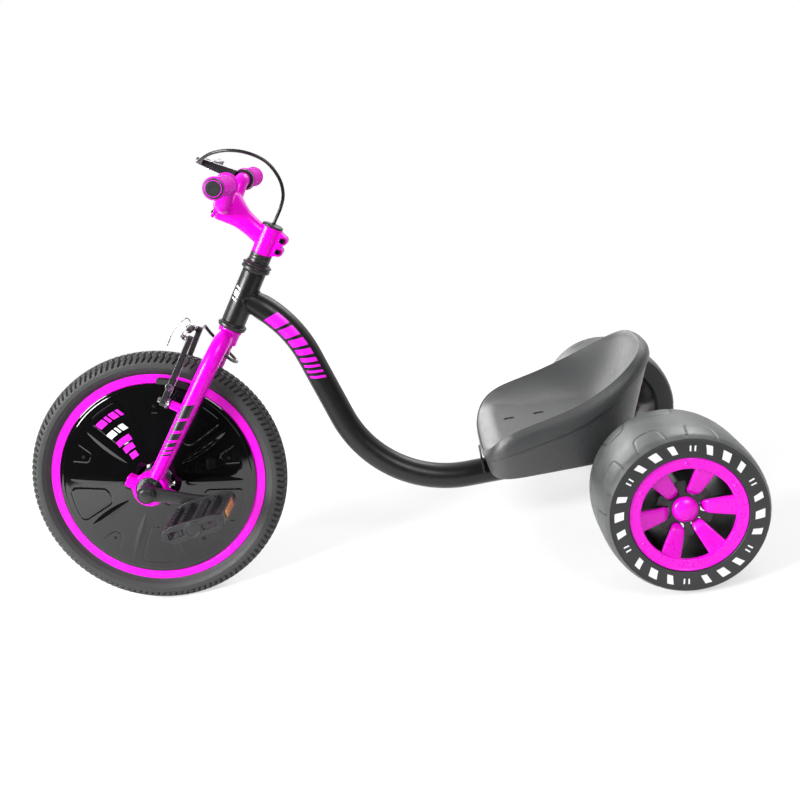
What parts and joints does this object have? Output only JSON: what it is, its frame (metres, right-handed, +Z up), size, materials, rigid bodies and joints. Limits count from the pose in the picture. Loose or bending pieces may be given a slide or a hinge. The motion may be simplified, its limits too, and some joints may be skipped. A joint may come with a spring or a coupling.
{
  "type": "drift trike",
  "caption": "Low pedal trike with a big driven front wheel, bent single-tube frame, moulded bucket seat, hand brake and wide smooth rear wheels for sliding.",
  "frame": {"origin": "on the ground, under the middle of the trike's length and width", "axes": "+X forwards, towards the front wheel; +Y to the rider's left; +Z up"},
  "size_m": [1.0185, 0.572, 0.6551],
  "materials": {
    "magenta_paint": "glossy powder coat over steel",
    "magenta_rim": "anodised and lacquered",
    "magenta_plastic": "moulded, lightly glossy",
    "magenta_rubber": "soft moulded",
    "black_paint": "satin powder coat over steel",
    "black_alloy": "satin black",
    "black_steel": "blackened fasteners",
    "black_plastic": "moulded, satin",
    "gloss_black_sheet": "polished thin sheet",
    "tread_rubber": "matt",
    "hard_grey_sleeve": "smooth, matt",
    "grey_seat_plastic": "fine moulded grain",
    "brake_rubber": "matt",
    "bare_steel": "bright",
    "cable_housing": "smooth outer casing"
  },
  "bodies": {
    "frame": {"frame": "black_paint", "seat": "grey_seat_plastic", "seat_bolt_front": "black_steel", "seat_bolt_rear": "black_steel", "lower_headset_cup": "black_alloy", "upper_headset_cup": "black_alloy", "rear_axle": "bare_steel", "left_axle_nut": "bare_steel", "right_axle_nut": "bare_steel"},
    "steering": {"fork": "magenta_paint", "lower_headset_bearing": "bare_steel", "upper_headset_bearing": "bare_steel", "headset_cover": "black_alloy", "headset_spacer": "black_alloy", "stem": "magenta_paint", "stem_faceplate": "magenta_paint", "faceplate_bolt_upper": "black_steel", "faceplate_bolt_lower": "black_steel", "pinch_bolt_upper": "black_steel", "pinch_bolt_lower": "black_steel", "top_cap": "black_alloy", "handlebar": "magenta_paint", "left_grip": "magenta_rubber", "right_grip": "magenta_rubber", "left_bar_cap": "black_plastic", "right_bar_cap": "black_plastic", "lever_perch": "black_alloy", "brake_cable": "cable_housing", "left_axle_clamp": "magenta_paint", "right_axle_clamp": "magenta_paint", "left_front_bearing": "bare_steel", "right_front_bearing": "bare_steel"},
    "front_wheel": {"front_hub": "black_alloy", "front_rim": "magenta_rim", "front_tyre": "tread_rubber", "left_wheel_cover": "gloss_black_sheet", "right_wheel_cover": "gloss_black_sheet", "left_crank": "black_alloy", "right_crank": "black_alloy"},
    "left_pedal": {"left_pedal": "black_plastic"},
    "right_pedal": {"right_pedal": "black_plastic"},
    "brake_lever": {"brake_lever": "black_alloy"},
    "left_brake_arm": {"left_brake_arm": "black_alloy", "left_brake_pad": "brake_rubber", "brake_wire": "bare_steel"},
    "right_brake_arm": {"right_brake_arm": "black_alloy", "right_brake_pad": "brake_rubber", "brake_noodle": "bare_steel"},
    "left_rear_wheel": {"left_rear_tyre": "hard_grey_sleeve", "left_wheel_disc": "magenta_plastic", "left_star_plate": "black_alloy", "left_hub_cap": "magenta_plastic", "left_inner_bearing": "bare_steel", "left_outer_bearing": "bare_steel"},
    "right_rear_wheel": {"right_rear_tyre": "hard_grey_sleeve", "right_wheel_disc": "magenta_plastic", "right_star_plate": "black_alloy", "right_hub_cap": "magenta_plastic", "right_inner_bearing": "bare_steel", "right_outer_bearing": "bare_steel"}
  },
  "joints": [
    {"name": "steering_axis", "type": "hinge", "parent": "frame", "child": "steering", "pos_m": [0.15665, 0, 0.39759], "axis": [-0.5721, 0, 0.8202], "range_deg": [-60, 60]},
    {"name": "front_axle", "type": "hinge", "parent": "steering", "child": "front_wheel", "pos_m": [0.31575, 0, 0.194], "axis": [0, 1, 0], "continuous": true},
    {"name": "left_pedal_spin", "type": "hinge", "parent": "front_wheel", "child": "left_pedal", "pos_m": [0.2313, 0.133, 0.16591], "axis": [0, 1, 0], "continuous": true},
    {"name": "right_pedal_spin", "type": "hinge", "parent": "front_wheel", "child": "right_pedal", "pos_m": [0.4002, -0.133, 0.22209], "axis": [0, 1, 0], "continuous": true},
    {"name": "left_rear_axle", "type": "hinge", "parent": "frame", "child": "left_rear_wheel", "pos_m": [-0.40425, 0.2255, 0.1055], "axis": [0, 1, 0], "continuous": true},
    {"name": "right_rear_axle", "type": "hinge", "parent": "frame", "child": "right_rear_wheel", "pos_m": [-0.40425, -0.2255, 0.1055], "axis": [0, 1, 0], "continuous": true},
    {"name": "lever_pivot", "type": "hinge", "parent": "steering", "child": "brake_lever", "pos_m": [0.14554, -0.06585, 0.63636], "axis": [0.5721, 0, -0.8202], "range_deg": [0, 18], "stiffness_Nm_per_rad": 0.6},
    {"name": "left_arm_pivot", "type": "hinge", "parent": "steering", "child": "left_brake_arm", "pos_m": [0.26687, 0.044, 0.31475], "axis": [0.8202, 0, 0.5721], "range_deg": [0, 4]},
    {"name": "right_arm_pivot", "type": "hinge", "parent": "steering", "child": "right_brake_arm", "pos_m": [0.26687, -0.044, 0.31475], "axis": [-0.8202, 0, -0.5721], "range_deg": [0, 4]}
  ],
  "couplings": [
    {"joint": "left_arm_pivot", "follows": "lever_pivot", "ratio": 0.22222},
    {"joint": "right_arm_pivot", "follows": "lever_pivot", "ratio": 0.22222}
  ]
}
